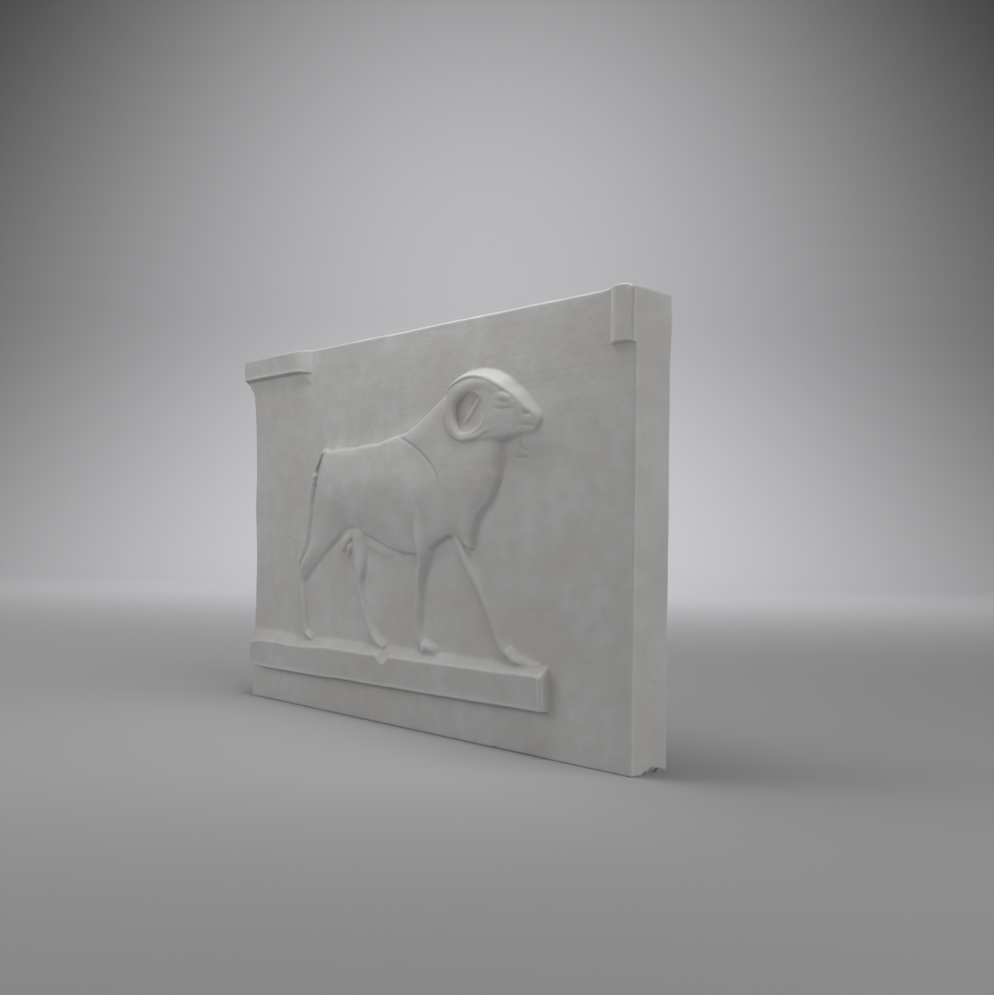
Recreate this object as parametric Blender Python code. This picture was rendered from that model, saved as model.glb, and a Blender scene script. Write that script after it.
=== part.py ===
"""A small plaster plaque, cast in one piece, with a walking ram in low relief.

The plaque stands on its lower edge. +X runs along it, its carved face looks
towards -Y and its flat back towards +Y. The origin is under the middle of its
box. The carving is laid out in millimetres: x from the middle of the slab's
foot, z from its underside, and at each place (x, z) one height above the slab.
"""
import math

import bmesh
import bpy
import numpy as np
from mathutils import Vector
from mathutils.geometry import delaunay_2d_cdt

for leftover in list(bpy.data.objects):
    bpy.data.objects.remove(leftover)

MM = 0.001

# The slab. Its left side flares out at the top, to the end of the left block.
SLAB_HEIGHT = 140.0
SLAB_THICKNESS = 16.5
FOOT_LEFT = -101.6
RIGHT_SIDE = 103.2
OVERHANG_LEFT = -109.5
ARRIS = 1.1
CORNER_ROUND = 2.2
LEFT_SIDE = [
    (140, OVERHANG_LEFT), (132, OVERHANG_LEFT + 0.2), (129, OVERHANG_LEFT + 1.2), (124, FOOT_LEFT - 4.8),
    (112, FOOT_LEFT - 2.8), (98, FOOT_LEFT - 1.8), (78, FOOT_LEFT - 1.3), (66, FOOT_LEFT - 0.3),
    (56, FOOT_LEFT + 0.4), (30, FOOT_LEFT + 0.4), (0, FOOT_LEFT)]

# The raised bar that the ram walks on, falling slightly to the left: its foot, its upper edge and
# its slope back to the slab, with worn ends and a drip of plaster over its edge.
BAR_PROUD, BAR_RIGHT, BAR_WALL, BAR_DRAFT, BAR_END_ROUND, BAR_LEAN = 3.9, 70.0, 27.6, 0.5, 4.5, 0.2
BAR_FOOT_LEFT, BAR_FOOT_RIGHT, BAR_EDGE_LEFT, BAR_EDGE_RIGHT = 12.7, 14.2, 23.8, 25.1
LEFT_CORNER, RIGHT_CORNER = 3.6, 1.3
DRIP_X, DRIP_REACH, DRIP_DEEP = -8.4, 2.9, 2.7

# The two raised blocks in the top corners.
LEFT_BLOCK_PROUD, LEFT_BLOCK_END, LEFT_BLOCK_END_SLOPE = 3.3, -62.0, 9.0
LEFT_BLOCK_FOOT, LEFT_BLOCK_FOOT_SLOPE, COVE_PROUD, COVE_DROP = 130.6, 1.3, 1.5, 4.6
RIGHT_BLOCK_PROUD, RIGHT_BLOCK_START, RIGHT_BLOCK_SIDE_SLOPE = 1.4, 93.2, 3.0
RIGHT_BLOCK_FOOT, RIGHT_BLOCK_FOOT_SLOPE = 122.9, 0.4

# The ram's trunk and neck, from the rump over the back and round by the belly to the hock,
# then up the rump: x, z, width of the steep edge, width of the shoulder, the edge's share.
TRUNK = [
    (-50, 99.4, 1.5, 9, 0.65), (-40, 99.5, 1.5, 9, 0.65), (-25, 99.8, 1.5, 9, 0.65),
    (-12, 101.2, 1.5, 9, 0.65), (-3, 102.9, 1.5, 9, 0.65), (5, 105.5, 1.3, 7, 0.6),
    (16, 111.8, 1.3, 7, 0.55),
    (22, 115.0, 1.6, 7, 0.55), (34, 115.6, 2.2, 8, 0.55), (46, 111.0, 3.0, 8, 0.5),
    (50, 105.0, 3.0, 6, 0.45), (52.2, 97.8, 5.0, 9, 0.4), (51.4, 94.0, 6.0, 11, 0.4),
    (49.6, 89.0, 4.6, 12, 0.45), (48.0, 84.4, 2.0, 9, 0.5), (43.9, 78.2, 1.4, 8, 0.5),
    (38.0, 72.0, 1.4, 7, 0.5), (35.8, 66.6, 1.4, 6, 0.5), (34.4, 62.2, 1.3, 3, 0.5),
    (28.4, 65.7, 1.4, 7, 0.45), (24.0, 66.4, 1.6, 9, 0.45), (18.5, 64.2, 1.7, 9, 0.45),
    (11, 60.6, 1.7, 9, 0.45), (3, 60.0, 1.4, 10, 0.45), (-8, 61.4, 1.4, 11, 0.42),
    (-20, 65.3, 1.4, 12, 0.38), (-30, 68.6, 1.6, 13, 0.32), (-37, 69.0, 2.4, 14, 0.25),
    (-42.5, 64.2, 1.8, 14, 0.3), (-50, 58.6, 1.6, 12, 0.3), (-58, 51.6, 1.5, 9, 0.3),
    (-62.4, 47.0, 1.2, 6, 0.4)]
RUMP = [
    (-62.4, 47.0, 1.2, 6, 0.4), (-66.0, 49.4, 3.4, 5, 0.55), (-66.6, 54.0, 4.4, 6, 0.6),
    (-62.4, 60.2, 3.8, 8, 0.5), (-58.4, 66.0, 2.4, 9, 0.42), (-57.6, 78.0, 2.2, 10, 0.36),
    (-56.2, 87.0, 2.2, 10, 0.4), (-53.4, 94.4, 1.8, 9, 0.5), (-50, 99.4, 1.5, 9, 0.65)]
# Its head: x, z, width of the bevel along the edge.
HEAD = [
    (21.0, 109.5, 3.6), (20.8, 114.4, 2.8), (22.4, 117.4, 2.4), (26.4, 120.0, 2.3), (31.6, 121.4, 2.2),
    (37.2, 121.8, 2.5), (42.0, 121.2, 2.8), (46.0, 120.2, 3.0), (50.6, 117.9, 3.0), (55.6, 114.4, 3.2),
    (60.6, 110.4, 3.5), (64.8, 106.4, 3.2), (66.2, 103.4, 2.2), (65.6, 100.6, 2.4), (62.8, 98.2, 3.2),
    (57.0, 96.7, 3.4), (50, 95.7, 3.2), (43, 95.4, 3.0), (36.0, 95.4, 3.6), (28.6, 96.4, 4.2),
    (23.2, 101.4, 4.0)]
TRUNK_PROUD, NECK_PROUD, HEAD_PROUD, MOST_PROUD = 2.7, 2.9, 3.8, 4.3

# Broad swellings: x, z, reach along x, reach along z, height; a negative one is a hollow.
TRUNK_SWELLS = [
    (9, 82.5, 12, 9, 1.4), (-18, 85, 17, 11, 1.1), (-46, 82, 11, 14, 1.2),
    (-40, 71, 8, 7, -0.9), (-10, 63, 26, 7, -0.6), (-62, 57, 6, 7, 1.1)]
NECK_SWELLS = [(31, 84, 14, 12, 1.05), (46, 94, 8, 5, 0.4)]

# The edge of the mane, from the withers to the chest: x, z, width of the shoulder's slope, step.
MANE = [
    (-4.5, 102.0, 6, 1), (2.0, 99.4, 6, 1), (8.0, 96.4, 7, 1), (13.0, 93.2, 7, 1),
    (17.0, 89.4, 5, 0.9), (20.0, 84.6, 6, 0.6), (21.6, 79.0, 9, 0.2), (22.4, 72.0, 14, 0),
    (23.0, 64.0, 20, 0)]
MANE_CUT = 0.35

# The face falls away along the muzzle. Inside the horn's curl an oval recess is sunk
# into it, which holds the ear.
MUZZLE_START, MUZZLE_REACH, MUZZLE_FALL = 49.0, 16.0, 2.2
JAW_TOP, JAW_END, JAW_FALL, JAW_PROUD = 105.0, 95.0, 0.008, 0.8
RECESS_X, RECESS_Z, RECESS_REACH_X, RECESS_REACH_Z = 34.2, 107.1, 9.0, 6.5
RECESS_PROUD, RECESS_DEEP, RECESS_WALL_SLOPE = 3.0, 0.9, 10.0
RECESS_SWELLS = [(28.6, 104.5, 4, 5, -0.3), (45, 107, 6, 9, 1.1)]
HORN_GROUND = 3.0

# Rounded ridges: x, z, half width, how far the ridge stands out.
HORN = [
    (46.5, 114.6, 1.3, 3.7), (42.4, 115.7, 2.0, 4.0), (37.5, 116.1, 2.3, 4.25), (32.6, 115.6, 2.5, 4.25),
    (28.0, 113.6, 2.7, 4.1), (25.0, 110.4, 2.9, 3.95), (24.6, 106.3, 2.8, 3.9), (26.8, 102.2, 2.3, 3.85),
    (30.6, 99.3, 1.4, 3.75), (34.6, 98.9, 1.3, 3.85), (40.2, 99.5, 1.1, 3.8), (44.4, 101.0, 1.0, 3.75),
    (47.4, 101.4, 0.8, 3.6)]
EAR = [
    (32.0, 103.8, 1.6, 2.15), (34.4, 106.2, 2.3, 2.5), (36.8, 108.6, 2.4, 2.7), (39.8, 111.2, 2.2, 3.0),
    (41.4, 112.6, 1.4, 3.4)]
EAR_ROOT = [(34.2, 112.8, 1.2, 2.7), (35.6, 110.8, 1.4, 2.7)]
EYE = [(47.8, 111.0, 1.3, 3.7), (50.4, 111.3, 1.9, 3.9), (53.0, 110.6, 1.2, 3.5)]

# Cut lines: x, z.
BROW_LINE = [(45.2, 115.9), (49.4, 114.0), (54.6, 110.9), (59.4, 107.5)]
UPPER_LID = [(47.0, 112.4), (49.6, 113.0), (52.4, 112.3), (55.2, 110.8)]
LOWER_LID = [(47.4, 109.8), (50.2, 109.5), (53.4, 109.2)]
CHEEK_LINE = [(47.0, 107.6), (49.8, 107.0), (53.0, 107.3), (56.6, 106.8)]
TEMPLE_LINE = [(47.0, 113.0), (46.8, 110.8)]
NOSTRIL_LINE = [(59.2, 106.0), (60.6, 105.3), (62.2, 105.1)]
MOUTH_LINE = [(57.6, 101.9), (61.5, 101.4), (64.8, 100.6)]
POLL_LINE = [(23.6, 113.0), (25.2, 115.4), (28.2, 117.0), (32.2, 118.0), (37.0, 118.3), (42.6, 117.3)]
JAW_LINE = [(46.6, 97.4), (50.6, 96.4), (55.6, 95.2)]
HEAD_CUTS = [
    (POLL_LINE, 0.5, 0.24), (BROW_LINE, 0.9, 0.2), (UPPER_LID, 0.6, 0.15), (LOWER_LID, 0.5, 0.18),
    (CHEEK_LINE, 0.55, 0.2), (TEMPLE_LINE, 0.4, 0.2), (NOSTRIL_LINE, 0.55, 0.5),
    (MOUTH_LINE, 0.5, 0.28), (JAW_LINE, 0.5, 0.12)]

# Tail, legs, hooves and what hangs under the belly: x, z, half width, how far it stands out.
TAIL = [
    (-48.0, 98.6, 1.2, 2.0), (-51.8, 98.0, 1.8, 2.0), (-54.8, 95.2, 1.4, 1.4), (-57.4, 92.2, 1.4, 1.2),
    (-58.0, 89.6, 1.8, 1.4), (-59.2, 86.2, 1.6, 1.0), (-60.0, 82.8, 1.7, 1.2), (-61.0, 78.6, 1.4, 0.8),
    (-61.4, 75.0, 1.6, 1.0), (-61.8, 70.6, 1.4, 1.0), (-62.4, 66.6, 1.6, 1.2), (-63.6, 62.0, 1.8, 1.3),
    (-65.6, 59.2, 1.6, 1.1), (-67.0, 56.8, 1.6, 1.2), (-68.2, 54.2, 1.0, 0.6)]
TAIL_ROOT = [(-57.4, 89.2, 1.9, 1.8), (-57.8, 87.0, 1.5, 1.4)]
NEAR_HIND_LEG = [
    (-61.6, 52.6, 2.6, 2.2), (-63.4, 49.6, 2.5, 2.2), (-62.8, 45.0, 2.3, 2.3), (-62.3, 40.0, 2.2, 2.3),
    (-61.8, 35.0, 2.2, 2.1), (-61.2, 31.5, 2.2, 2.0), (-60.8, 29.4, 2.2, 1.8)]
NEAR_HIND_HOOF = [(-61.4, 28.8, 2.2, 1.8), (-59.2, 27.6, 2.5, 2.2), (-56.6, 26.9, 1.8, 1.9)]
FAR_HIND_LEG = [
    (-28.0, 66.0, 4.6, 1.6), (-27.4, 60.0, 4.7, 1.8), (-27.0, 54.0, 3.2, 1.8), (-26.8, 48.6, 2.0, 1.5),
    (-24.8, 42.5, 1.7, 1.3), (-22.0, 37.0, 1.7, 1.3), (-19.6, 33.0, 1.8, 1.4), (-17.0, 30.4, 2.1, 1.6),
    (-14.4, 28.6, 2.3, 1.7), (-11.6, 27.4, 1.9, 1.6)]
NEAR_FORELEG = [
    (9.0, 74, 4.0, 3.3), (9.6, 68, 4.8, 3.6), (10.2, 62, 4.6, 3.4), (9.8, 57.0, 3.0, 2.7),
    (8.2, 51, 2.7, 1.9), (7.6, 45, 2.6, 1.6), (7.4, 38, 2.5, 1.4), (8.0, 33.0, 2.4, 1.4),
    (9.4, 30.6, 2.3, 1.5)]
NEAR_FORE_HOOF = [(11.4, 29.4, 2.6, 2.1), (14.0, 28.7, 2.7, 2.0), (17.0, 27.6, 2.0, 1.3)]
FAR_FORELEG = [
    (27.0, 67.2, 2.2, 1.7), (31.4, 60.2, 2.8, 1.9), (35.6, 55.0, 3.1, 1.9), (39.6, 50.0, 3.1, 1.9),
    (43.0, 44.2, 2.8, 1.8), (46.2, 38.6, 2.6, 1.7), (48.8, 33.6, 2.3, 1.6), (51.4, 30.6, 2.2, 1.7)]
FAR_FORE_HOOF = [
    (53.2, 29.8, 2.4, 1.9), (56.4, 28.7, 2.4, 1.8), (60.6, 27.6, 2.0, 1.3), (65.4, 26.8, 1.5, 0.9)]
SCROTUM = [(-34.8, 65.4, 2.6, 1.9), (-37.0, 62.8, 2.9, 1.9)]
FAR_LOBE = [(-33.4, 62.0, 2.4, 1.4), (-35.0, 59.8, 2.0, 0.9)]
SHEATH = [(-32, 66.4, 2.0, 0.8), (-24, 64.4, 2.2, 0.7), (-16, 61.8, 2.1, 0.6), (-9.5, 60.2, 1.6, 0.5)]
TUFT = [(-6.2, 60.0, 2.0, 0.5), (-4.6, 56.0, 2.0, 0.35), (-3.4, 53.0, 1.3, 0.2)]

# Where each form is laid on the ones before it: the form, how full it is, the fillet.
FORMS = [
    (FAR_HIND_LEG, 2.6, 0.5), (FAR_FORELEG, 2.2, 0.4), (SHEATH, 2.2, 0.4), (TUFT, 2.2, 0.5),
    (FAR_LOBE, 2.2, 0.6), (SCROTUM, 2.8, 0.7), (NEAR_HIND_LEG, 2.0, 0.7), (NEAR_FORELEG, 1.8, 1.0),
    (TAIL, 2.0, 0.4), (TAIL_ROOT, 2.2, 0.5)]
# What stands on the bar.
HOOVES = [(NEAR_HIND_HOOF, 0.2), (NEAR_FORE_HOOF, 0.5), (FAR_FORE_HOOF, 0.5)]

# The ground's own swellings, and the fillet where the ram meets it.
GROUND_SWELLS = [
    (-56, 57, 12, 12, 0.6), (-64.5, 40, 8, 16, 1.1), (44, 76, 14, 18, 0.6), (34, 44, 12, 9, 0.25),
    (58, 98.5, 9, 7, 1.5)]
GROUND_FILLET = 0.8
# It also rises softly towards the back: a line, its half width and its height.
BACK_RISE = [(-53, 97.0), (-48, 98.6), (-25, 99.2), (-8, 101.0), (4, 104.6), (15, 110.6)]
BACK_RISE_REACH, BACK_RISE_PROUD = 3.0, 0.6

# The mesh: how closely it follows the carving, its first grid, and how fine it may get.
CLOSENESS = 0.13
GRID = 8.0
SMALLEST = 0.9
ROUNDS = 6
SAME_PLACE = 0.01


def smooth_path(points, closed=False, per_span=4):
    """Points along the smooth curve through rows of numbers (a Catmull-Rom spline)."""
    rows = np.array(points, float)
    if closed:
        rows = np.vstack([rows[-1:], rows, rows[:2]])
    else:
        rows = np.vstack([2 * rows[0] - rows[1], rows, 2 * rows[-1] - rows[-2]])
    steps = np.linspace(0, 1, per_span, endpoint=False)[:, None]
    spans = []
    for a, b, c, d in zip(rows, rows[1:], rows[2:], rows[3:]):
        square, cube = 2 * a - 5 * b + 4 * c - d, 3 * b - a - 3 * c + d
        spans.append(b + ((c - a) * steps + square * steps ** 2 + cube * steps ** 3) / 2)
    return np.vstack(spans if closed else spans + [rows[-2:-1]])


def nearest(path, x, z, closed=False):
    """Distance to a path, the values that it carries at the nearest place, and the side (1 is left)."""
    distance = np.full(x.shape, 1e9)
    values = np.zeros(x.shape + (path.shape[1] - 2,))
    side = np.zeros(x.shape)
    ends = np.vstack([path, path[:1]]) if closed else path
    for a, b in zip(ends, ends[1:]):
        run, climb = b[0] - a[0], b[1] - a[1]
        part = ((x - a[0]) * run + (z - a[1]) * climb) / (run * run + climb * climb)
        part = np.clip(part, 0, 1)
        away = np.hypot(x - a[0] - part * run, z - a[1] - part * climb)
        closer = away < distance
        distance = np.where(closer, away, distance)
        blend = a[2:] + (b[2:] - a[2:]) * part[..., None]
        values = np.where(closer[..., None], blend, values)
        side = np.where(closer, np.sign(run * (z - a[1]) - climb * (x - a[0])), side)
    return distance, values, side


def is_inside(path, x, z):
    """True where a closed path goes round the place."""
    odd = np.zeros(x.shape, bool)
    for a, b in zip(path, np.roll(path, -1, axis=0)):
        if a[1] == b[1]:
            continue
        spans = (a[1] > z) != (b[1] > z)
        odd ^= spans & (x < a[0] + (z - a[1]) * (b[0] - a[0]) / (b[1] - a[1]))
    return odd


def rise(part, outside=2.0):
    """From 0 at an edge's foot to 1, steepest at the foot; it runs on below 0 outside."""
    return np.where(part < 0, outside * part, 1 - (1 - np.clip(part, 0, 1)) ** 2)


def join(a, b, softness):
    """The higher of two surfaces, with a small fillet where they meet."""
    overlap = np.clip(softness - np.abs(a - b), 0, None)
    return np.maximum(a, b) + overlap ** 2 / (4 * softness)


def meet(a, b, softness):
    """The lower of two surfaces, with a small round where they meet."""
    return -join(-a, -b, softness)


# How a form falls on beyond its foot: gently on the slab, which makes its fillet wide, and
# steeply where it lies on another form.
SOFT_FALL, RAISED_FALL = 0.8, 9.0


def swell(rows, x, z):
    """The sum of smooth swellings."""
    total = np.zeros(x.shape)
    for middle_x, middle_z, reach_x, reach_z, height in rows:
        total += height * np.exp(-((x - middle_x) / reach_x) ** 2 - ((z - middle_z) / reach_z) ** 2)
    return total


def carved(sides, top, x, z):
    """A form inside the sides of an outline: a steep edge, then a round shoulder up to its top."""
    paths = [smooth_path(side) for side in sides]
    within = is_inside(np.vstack(paths), x, z)
    height = np.full(x.shape, np.inf)
    for path in paths:
        distance, values, _ = nearest(path, x, z)
        inside = np.where(within, distance, -distance)
        edge_width, shoulder_width, steep_share = values.T
        edge = rise(inside / edge_width, SOFT_FALL)
        shoulder = rise(np.clip(inside, 0, None) / shoulder_width)
        height = meet(height, steep_share * edge + (1 - steep_share) * shoulder, 0.25)
    return np.clip(top * height, -6, None)


def stroke(stations, x, z, fullness=2.2, ground=0.0):
    """A rounded ridge on its ground, along its stations; more fullness gives a flatter top."""
    fall = RAISED_FALL if ground > 0 else SOFT_FALL
    distance, values, _ = nearest(smooth_path(stations), x, z)
    part = distance / values[..., 0]
    profile = np.where(part < 1, 1 - np.clip(part, 0, 1) ** fullness, fall * (1 - part))
    return np.clip(ground + (values[..., 1] - ground) * profile, -6, None)


def groove(points, half_width, depth, x, z):
    """How deep a cut line goes, fading out at its two ends."""
    rows = [(*point, 0.2 if place in (0, len(points) - 1) else 1.0) for place, point in enumerate(points)]
    distance, strength, _ = nearest(smooth_path(rows), x, z)
    return depth * strength[..., 0] * np.exp(-(distance / half_width) ** 2)


def trunk_height(x, z):
    """Trunk and neck in one outline; the trunk swells up behind the cut edge of the mane."""
    distance, values, side = nearest(smooth_path(MANE), x, z)
    behind = np.clip(-side * distance / values[..., 0], 0, 1)
    neck = NECK_PROUD + swell(NECK_SWELLS, x, z)
    trunk = TRUNK_PROUD + swell(TRUNK_SWELLS, x, z)
    height = carved((TRUNK, RUMP), neck + (trunk - neck) * rise(behind), x, z)
    cut = MANE_CUT * values[..., 1] * np.exp(-(distance / 0.5) ** 2)
    return height - np.where(height > 0.6, cut, 0)


def with_head(height, x, z):
    """The head on the neck: its mask, the recess, the horn, the ear, the eye and the cut lines."""
    along = np.clip((x - MUZZLE_START) / MUZZLE_REACH, 0, 1.1)
    below = np.clip(JAW_TOP - z, 0, JAW_TOP - JAW_END)
    face = np.maximum(HEAD_PROUD - MUZZLE_FALL * along ** 1.2 - JAW_FALL * below ** 2, JAW_PROUD)
    path = smooth_path(HEAD, closed=True)
    distance, widths, _ = nearest(path, x, z, closed=True)
    inside = np.where(is_inside(path, x, z), distance, -2 * distance)
    bevel = HEAD_PROUD * inside / widths[..., 0]
    height = join(height, meet(bevel, face, 0.7), 0.7)
    away = np.hypot((x - RECESS_X) / RECESS_REACH_X, (z - RECESS_Z) / RECESS_REACH_Z)
    bowl = RECESS_PROUD - RECESS_DEEP * np.clip(1 - away ** 4, 0, 1) + swell(RECESS_SWELLS, x, z)
    bowl = bowl + RECESS_WALL_SLOPE * np.clip(away - 1, 0, None)
    height = np.where(height > RECESS_DEEP, meet(height, bowl, 0.4), height)
    height = join(height, stroke(HORN, x, z, fullness=3, ground=HORN_GROUND), 0.35)
    for form in (EAR, EAR_ROOT):
        height = join(height, stroke(form, x, z, fullness=2), 0.6)
    for points, half_width, depth in HEAD_CUTS:
        height = height - groove(points, half_width, depth, x, z)
    return join(height, stroke(EYE, x, z, ground=HORN_GROUND), 0.3)


def ram_height(x, z):
    """The whole ram."""
    height = with_head(trunk_height(x, z), x, z)
    for form, fullness, fillet in FORMS:
        height = join(height, stroke(form, x, z, fullness), fillet)
    return np.minimum(height, MOST_PROUD)


def bar_line(x, at_left, at_right):
    """The height of one of the bar's edges, between its two ends."""
    return at_left + (at_right - at_left) * (x - FOOT_LEFT) / (BAR_RIGHT - FOOT_LEFT)


def bar_edges(x):
    """The bar's lower and upper edge, both turning in at the ends."""
    left_turn = LEFT_CORNER * np.exp(np.minimum(FOOT_LEFT - x, 0) / LEFT_CORNER)
    right_turn = RIGHT_CORNER * np.exp(np.minimum(x - BAR_RIGHT, 0) / RIGHT_CORNER)
    foot = bar_line(x, BAR_FOOT_LEFT, BAR_FOOT_RIGHT) + left_turn
    edge = bar_line(x, BAR_EDGE_LEFT, BAR_EDGE_RIGHT) - left_turn - right_turn
    return foot, edge - DRIP_DEEP * np.exp(-((x - DRIP_X) / DRIP_REACH) ** 4)


def bar_height(x, z):
    """The bar: a steep foot, a front leaning forward, a top sloping back, a worn left end."""
    foot, edge = bar_edges(x)
    under = rise((z - foot) / BAR_DRAFT)
    end = rise((BAR_RIGHT - x) / BAR_DRAFT)
    slope = (BAR_WALL - z) / (BAR_WALL - edge)
    worn = rise((x - FOOT_LEFT) / BAR_END_ROUND)
    front = 1 - BAR_LEAN * (edge - z) / (edge - foot)
    body = np.minimum.reduce([under, end, worn, front])
    return BAR_PROUD * meet(body, slope, 0.12)


def block_heights(x, z):
    """The two blocks in the top corners; the left one has a cove under it and a sloping end."""
    end = rise((LEFT_BLOCK_END - x) / LEFT_BLOCK_END_SLOPE)
    left = LEFT_BLOCK_PROUD * np.minimum(end, rise((z - LEFT_BLOCK_FOOT) / LEFT_BLOCK_FOOT_SLOPE))
    cove = COVE_PROUD * np.minimum(end, rise((z - LEFT_BLOCK_FOOT + COVE_DROP) / (2 * COVE_DROP)))
    side = rise((x - RIGHT_BLOCK_START) / RIGHT_BLOCK_SIDE_SLOPE)
    right = RIGHT_BLOCK_PROUD * np.minimum(side, rise((z - RIGHT_BLOCK_FOOT) / RIGHT_BLOCK_FOOT_SLOPE))
    return np.maximum.reduce([left, cove, right])


def slab_outline():
    """The slab's edge, anticlockwise from the lower left corner."""
    corners = [(FOOT_LEFT, 0.0), (RIGHT_SIDE, 0.0)]
    for turn in np.linspace(0, math.pi / 2, 4):
        corners.append((RIGHT_SIDE - CORNER_ROUND * (1 - math.cos(turn)),
                        SLAB_HEIGHT - CORNER_ROUND * (1 - math.sin(turn))))
    corners += [(x, z) for z, x in smooth_path(LEFT_SIDE, per_span=2)[:-1]]
    return np.array(corners)


def shrunk(outline, inset):
    """The same outline, pulled in by an inset."""
    before, after = np.roll(outline, 1, axis=0), np.roll(outline, -1, axis=0)
    first = (outline - before) / np.linalg.norm(outline - before, axis=1)[:, None]
    second = (after - outline) / np.linalg.norm(after - outline, axis=1)[:, None]
    inward = np.column_stack([-first[:, 1] - second[:, 1], first[:, 0] + second[:, 0]])
    stretch = 1 + (first * second).sum(axis=1)
    return outline + inset * inward / stretch[:, None]


def face_height(x, z):
    """How far the plaque's face stands out at a place, with its outer edge rounded off."""
    ground = swell(GROUND_SWELLS, x, z) + groove(BACK_RISE, BACK_RISE_REACH, BACK_RISE_PROUD, x, z)
    height = join(ram_height(x, z), ground, GROUND_FILLET)
    height = join(height, bar_height(x, z), 0.7)
    for form, fillet in HOOVES:
        height = join(height, stroke(form, x, z), fillet)
    height = join(height, block_heights(x, z), 0.3)
    distance, _, _ = nearest(slab_outline(), x, z, closed=True)
    short = np.clip(ARRIS - distance, 0, None)
    return height - (ARRIS - np.sqrt(np.clip(ARRIS ** 2 - short ** 2, 0, None)))


def beside(rows, share):
    """A line beside a path, at a share of the width that its rows carry."""
    path = smooth_path(rows, per_span=3)
    along = np.gradient(path[:, :2], axis=0)
    along /= np.linalg.norm(along, axis=1)[:, None]
    return path[:, :2] + share * path[:, 2:3] * np.column_stack([-along[:, 1], along[:, 0]])


def mesh_lines():
    """Lines that the mesh has edges along: the slab's rims, the ram's outlines, the bar and blocks."""
    outline = slab_outline()
    loops = [outline, shrunk(outline, ARRIS * 0.35), shrunk(outline, ARRIS)]
    loops.append(smooth_path(HEAD, closed=True, per_span=2)[:, :2])
    lines = [beside(MANE[:6], 0)]
    lines += [smooth_path(side, per_span=3)[:, :2] for side in (TRUNK[:8], TRUNK[14:], RUMP)]
    lines += [smooth_path(points, per_span=2) for points, _, _ in HEAD_CUTS[:2]]
    for stations in (NEAR_HIND_LEG, FAR_HIND_LEG, NEAR_FORELEG, FAR_FORELEG, TAIL, HORN):
        lines += [beside(stations, share) for share in (-1, 0, 1)]
    beyond = 3.0
    left, right, top = OVERHANG_LEFT - beyond, RIGHT_SIDE + beyond, SLAB_HEIGHT + beyond
    for lift in (0.0, BAR_DRAFT):
        end = BAR_RIGHT - lift
        along = np.append(np.arange(left, end - 1, 4.0), [end - 1, end])
        foot, _ = bar_edges(along)
        lines.append(list(zip(along, foot + lift)) + [(end, BAR_WALL)])
    along = np.append(np.arange(left, BAR_RIGHT - 2, 3.0), [BAR_RIGHT - 1, BAR_RIGHT])
    lines.append(list(zip(along, bar_edges(along)[1])))
    lines.append([(left, BAR_WALL), (BAR_RIGHT, BAR_WALL)])
    for share in (0, 1):
        foot = LEFT_BLOCK_FOOT + LEFT_BLOCK_FOOT_SLOPE * share
        end = LEFT_BLOCK_END - LEFT_BLOCK_END_SLOPE * share
        lines.append([(left, foot), (end, foot), (end, top)])
        foot = RIGHT_BLOCK_FOOT + RIGHT_BLOCK_FOOT_SLOPE * share
        side = RIGHT_BLOCK_START + RIGHT_BLOCK_SIDE_SLOPE * share
        lines.append([(right, foot), (side, foot), (side, top)])
    return loops, lines


def face_triangles():
    """Places, triangles and heights of a mesh that follows the face to within CLOSENESS."""
    points, edges = [], []
    loops, lines = mesh_lines()
    for rows, closed in [(loop, True) for loop in loops] + [(line, False) for line in lines]:
        first = len(points)
        points += [tuple(row) for row in rows]
        edges += [(place, place + 1) for place in range(first, len(points) - 1)]
        if closed:
            edges.append((len(points) - 1, first))
    outline = slab_outline()
    columns = np.arange(OVERHANG_LEFT + GRID, RIGHT_SIDE, GRID)
    rows = np.arange(GRID / 2, SLAB_HEIGHT, GRID)
    fresh = np.array([(x, z) for x in columns for z in rows])
    for _ in range(ROUNDS):
        clear = nearest(outline, fresh[:, 0], fresh[:, 1], closed=True)[0] > ARRIS / 2
        points += [tuple(point) for point in fresh[clear & is_inside(outline, *fresh.T)]]
        result = delaunay_2d_cdt([Vector(point) for point in points], edges, [], 1, SAME_PLACE)
        places = np.array([tuple(place) for place in result[0]])
        triangles = np.array(result[2])
        heights = face_height(*places.T)
        corners, tops = places[triangles], heights[triangles]
        longest = np.linalg.norm(corners - np.roll(corners, 1, axis=1), axis=2).max(axis=1)
        tests = [(corners.mean(axis=1), tops.mean(axis=1))]
        for side in range(3):
            pair = [side, (side + 1) % 3]
            tests.append((corners[:, pair].mean(axis=1), tops[:, pair].mean(axis=1)))
        gaps = np.array([np.abs(face_height(*test.T) - flat) for test, flat in tests])
        worst = gaps.argmax(axis=0)
        coarse = (gaps.max(axis=0) > CLOSENESS) & (longest > SMALLEST)
        chosen = np.array([tests[worst[place]][0][place] for place in np.flatnonzero(coarse)])
        if not len(chosen):
            break
        fresh = np.unique(chosen.round(2), axis=0)
    return places, triangles, heights


def make_material():
    """Matt cast plaster, a warm grey white."""
    material = bpy.data.materials.new("plaster")
    material.use_nodes = True
    shader = material.node_tree.nodes["Principled BSDF"]
    shader.inputs["Base Color"].default_value = (0.60, 0.58, 0.54, 1.0)
    shader.inputs["Roughness"].default_value = 0.85
    shader.inputs["Metallic"].default_value = 0.0
    return material


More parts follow.
